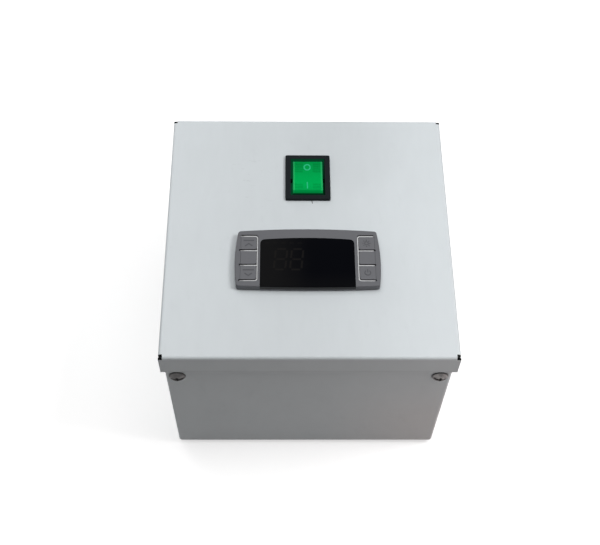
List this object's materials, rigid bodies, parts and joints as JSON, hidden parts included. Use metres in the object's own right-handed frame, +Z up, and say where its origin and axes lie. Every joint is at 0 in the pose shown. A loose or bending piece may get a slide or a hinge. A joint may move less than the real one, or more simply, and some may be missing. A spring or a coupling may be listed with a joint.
{
  "type": "filament dryer heater unit",
  "caption": "White folded-steel box with a screwed lid that carries a lit rocker switch and a panel temperature controller; a fan blows over a heater to a side outlet.",
  "frame": {"origin": "centre of the footprint, on the surface that the rubber feet rest on", "axes": "+Z up, +X to the right, -Y out of the front wall; the controller's lower edge faces -Y"},
  "size_m": [0.1516, 0.1516, 0.1172],
  "materials": {
    "white_powder_coat": "fine-textured satin powder coat",
    "zinc_sheet": "zinc-plated sheet",
    "zinc_screw": "zinc-plated",
    "black_rubber": "matt",
    "black_nylon": "fine moulded grain",
    "green_rocker": "translucent, ribbed",
    "contact_brass": "plated",
    "lamp_glass": "clear",
    "grey_bezel": "fine spark-eroded grain",
    "grey_key": "fine spark-eroded grain",
    "window_black": "polished smoked acrylic",
    "pale_silicone": "matt",
    "digit_grey": "satin",
    "board_green": "solder mask",
    "relay_blue": "moulded",
    "transformer_yellow": "taped winding",
    "terminal_green": "moulded",
    "duct_aluminium": "mill finish",
    "magnet_ferrite": "pressed",
    "winding_copper": "enamelled winding",
    "fuse_glass": "clear",
    "ivory_nylon": "moulded",
    "wire_insulation": "PVC, in the usual colours"
  },
  "bodies": {
    "enclosure": {"base_tray": "white_powder_coat", "lid": "white_powder_coat", "lid_bracket_front_left": "zinc_sheet", "lid_bracket_front_right": "zinc_sheet", "lid_bracket_back_left": "zinc_sheet", "lid_bracket_back_right": "zinc_sheet", "lid_screws": "zinc_screw", "lid_clinch_nuts": "zinc_screw", "rubber_feet": "black_rubber", "switch_housing": "black_nylon", "switch_terminals": "contact_brass", "switch_lamp": "lamp_glass", "controller_bezel": "grey_bezel", "display_lens": "window_black", "key_membranes": "pale_silicone", "controller_gasket": "black_rubber", "controller_housing": "black_nylon", "display_digits": "digit_grey", "display_board": "board_green", "tact_switches": "black_nylon", "power_board": "board_green", "relay": "relay_blue", "transformer": "transformer_yellow", "board_ribbon": "wire_insulation", "controller_terminals": "terminal_green", "panel_clip_left": "black_nylon", "panel_clip_right": "black_nylon", "air_duct": "duct_aluminium", "duct_screws": "zinc_screw", "duct_nuts": "zinc_screw", "fan_frame": "black_nylon", "fan_bearings": "zinc_screw", "fan_stator": "winding_copper", "fan_screws": "zinc_screw", "fan_nuts": "zinc_screw", "heater_fins": "duct_aluminium", "heater_bars": "duct_aluminium", "heater_end_caps": "black_nylon", "thermal_cutout": "black_nylon", "temperature_probe": "zinc_screw", "probe_grommet": "black_rubber", "inlet_socket": "black_nylon", "inlet_pins": "contact_brass", "inlet_fasteners": "zinc_screw", "terminal_strip": "ivory_nylon", "earth_stud": "zinc_screw", "wiring": "wire_insulation"},
    "rocker": {"switch_rocker": "green_rocker", "rocker_plunger": "contact_brass"},
    "contact_levers": {"switch_levers": "contact_brass"},
    "fan_impeller": {"fan_rotor": "black_nylon", "fan_magnet": "magnet_ferrite"},
    "fuse_holder": {"fuse_drawer": "black_nylon", "fuse": "fuse_glass"},
    "key_left_top": {"key_left_top": "grey_key"},
    "key_left_middle": {"key_left_middle": "grey_key"},
    "key_left_bottom": {"key_left_bottom": "grey_key"},
    "key_right_top": {"key_right_top": "grey_key"},
    "key_right_middle": {"key_right_middle": "grey_key"},
    "key_right_bottom": {"key_right_bottom": "grey_key"}
  },
  "joints": [
    {"name": "rocker_tilt", "type": "hinge", "parent": "enclosure", "child": "rocker", "pos_m": [0, 0.0344, 0.1108], "axis": [1, 0, 0], "range_deg": [0, 12]},
    {"name": "lever_tilt", "type": "hinge", "parent": "enclosure", "child": "contact_levers", "pos_m": [0, 0.0344, 0.1], "axis": [1, 0, 0], "range_deg": [-8, 0]},
    {"name": "fan_spin", "type": "hinge", "parent": "enclosure", "child": "fan_impeller", "pos_m": [-0.06, 0.036, 0.0342], "axis": [1, 0, 0], "continuous": true},
    {"name": "fuse_drawer_slide", "type": "slide", "parent": "enclosure", "child": "fuse_holder", "axis": [0, 1, 0], "range_m": [0, 0.018]},
    {"name": "key_left_top_press", "type": "hinge", "parent": "enclosure", "child": "key_left_top", "pos_m": [-0.0352, -0.01045, 0.1159], "axis": [0, 1, 0], "range_deg": [0, 3], "stiffness_Nm_per_rad": 0.1, "springref_deg": -2.86},
    {"name": "key_left_middle_press", "type": "hinge", "parent": "enclosure", "child": "key_left_middle", "pos_m": [-0.0352, -0.01915, 0.1159], "axis": [0, 1, 0], "range_deg": [0, 3], "stiffness_Nm_per_rad": 0.1, "springref_deg": -2.86},
    {"name": "key_left_bottom_press", "type": "hinge", "parent": "enclosure", "child": "key_left_bottom", "pos_m": [-0.0352, -0.0282, 0.1159], "axis": [0, 1, 0], "range_deg": [0, 3], "stiffness_Nm_per_rad": 0.1, "springref_deg": -2.86},
    {"name": "key_right_top_press", "type": "hinge", "parent": "enclosure", "child": "key_right_top", "pos_m": [0.0342, -0.01045, 0.1159], "axis": [0, -1, 0], "range_deg": [0, 3], "stiffness_Nm_per_rad": 0.1, "springref_deg": -2.86},
    {"name": "key_right_middle_press", "type": "hinge", "parent": "enclosure", "child": "key_right_middle", "pos_m": [0.0342, -0.01915, 0.1159], "axis": [0, -1, 0], "range_deg": [0, 3], "stiffness_Nm_per_rad": 0.1, "springref_deg": -2.86},
    {"name": "key_right_bottom_press", "type": "hinge", "parent": "enclosure", "child": "key_right_bottom", "pos_m": [0.0342, -0.0282, 0.1159], "axis": [0, -1, 0], "range_deg": [0, 3], "stiffness_Nm_per_rad": 0.1, "springref_deg": -2.86}
  ],
  "couplings": [
    {"joint": "lever_tilt", "follows": "rocker_tilt", "ratio": -0.6666}
  ]
}
